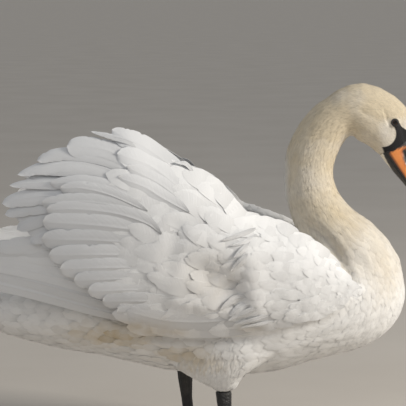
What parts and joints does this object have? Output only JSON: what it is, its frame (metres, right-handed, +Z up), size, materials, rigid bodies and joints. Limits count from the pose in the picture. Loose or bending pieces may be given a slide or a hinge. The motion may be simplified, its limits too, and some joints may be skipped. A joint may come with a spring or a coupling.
{
  "type": "mute swan standing with half-raised wings, life-size still model",
  "caption": "Life-size still figure of an adult mute swan, standing on both webbed feet with arched wings and a deeply curved neck",
  "frame": {"origin": "centre of the bottom of the bounding box, on the ground between and behind the feet", "axes": "+X towards the bill, +Z up, the bird's right side towards -Y"},
  "size_m": [0.7934, 0.3282, 0.5301],
  "materials": {
    "white_plumage": "soft white contour feathers, matt, with a faint warm stain low on the flank",
    "flight_feathers": "white flight feathers and coverts, silky, finely barbed, with pale shafts",
    "neck_plumage": "very short dense feathers, white stained buff towards the head",
    "orange_bill": "orange horn, satin",
    "black_horn": "black horn of the cutting edges, lower bill and claws, satin",
    "black_skin": "bare black skin of the knob and lores, finely creased",
    "leg_skin": "dark grey scaled skin, dusty",
    "eye": "very dark brown, wet gloss"
  },
  "bodies": {
    "root": {"trunk": "white_plumage", "neck_lower": "neck_plumage", "neck_middle": "neck_plumage", "neck_upper": "neck_plumage", "head": "neck_plumage", "bill_upper": "orange_bill", "bill_lower": "black_horn", "bill_knob": "black_skin", "tail": "white_plumage", "eye_right": "eye", "wing_arm_right": "white_plumage", "wing_coverts_right": "flight_feathers", "wing_secondaries_right": "flight_feathers", "wing_primaries_right": "flight_feathers", "thigh_right": "white_plumage", "tarsus_right": "leg_skin", "foot_right": "leg_skin", "claw_inner_right": "black_horn", "claw_middle_right": "black_horn", "claw_outer_right": "black_horn", "claw_hind_right": "black_horn", "eye_left": "eye", "wing_arm_left": "white_plumage", "wing_coverts_left": "flight_feathers", "wing_secondaries_left": "flight_feathers", "wing_primaries_left": "flight_feathers", "thigh_left": "white_plumage", "tarsus_left": "leg_skin", "foot_left": "leg_skin", "claw_inner_left": "black_horn", "claw_middle_left": "black_horn", "claw_outer_left": "black_horn", "claw_hind_left": "black_horn"}
  },
  "joints": []
}
